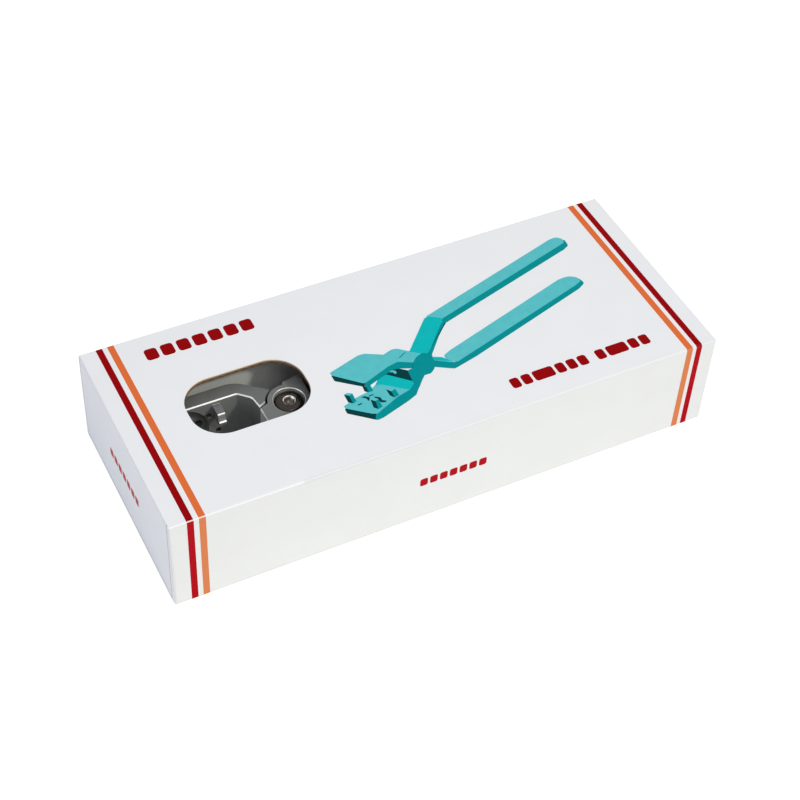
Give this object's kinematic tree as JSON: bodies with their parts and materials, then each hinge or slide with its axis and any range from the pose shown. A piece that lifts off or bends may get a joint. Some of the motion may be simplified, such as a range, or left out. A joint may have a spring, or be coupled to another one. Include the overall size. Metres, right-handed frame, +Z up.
{
  "type": "boxed keyboard switch opener",
  "caption": "White windowed tuck-end carton with striped ends that holds a plier-type keyboard switch opener in a foam insert.",
  "frame": {"origin": "middle of the closed carton's bottom face", "axes": "+X along the carton towards the handles of the tool, +Y to the back, +Z up through the window"},
  "size_m": [0.22, 0.09, 0.043],
  "materials": {
    "white_board": "coated white, smooth",
    "red_print": "printed, dark red",
    "orange_print": "printed, orange",
    "teal_print": "printed, teal",
    "grey_foam": "closed-cell foam, matt",
    "satin_grey_metal": "satin",
    "dark_screw": "blackened, semi-bright"
  },
  "bodies": {
    "root": {"carton_sleeve": "white_board", "foam_base": "grey_foam", "foam_middle": "grey_foam", "foam_top": "grey_foam", "prong_arm": "satin_grey_metal", "pivot_screw": "dark_screw"},
    "press_arm": {"press_arm": "satin_grey_metal"},
    "left_flap": {"left_end_flap": "white_board"},
    "right_flap": {"right_end_flap": "white_board"}
  },
  "joints": [
    {"name": "tool_pivot", "type": "hinge", "parent": "root", "child": "press_arm", "pos_m": [-0.0465, -0.0018, 0.0245], "axis": [0, 0, 1], "range_deg": [0, 8]},
    {"name": "left_flap_fold", "type": "hinge", "parent": "root", "child": "left_flap", "pos_m": [-0.10971, 0, 0.04271], "axis": [0, 1, 0], "range_deg": [0, 110]},
    {"name": "right_flap_fold", "type": "hinge", "parent": "root", "child": "right_flap", "pos_m": [0.10971, 0, 0.04271], "axis": [0, -1, 0], "range_deg": [0, 110]}
  ]
}
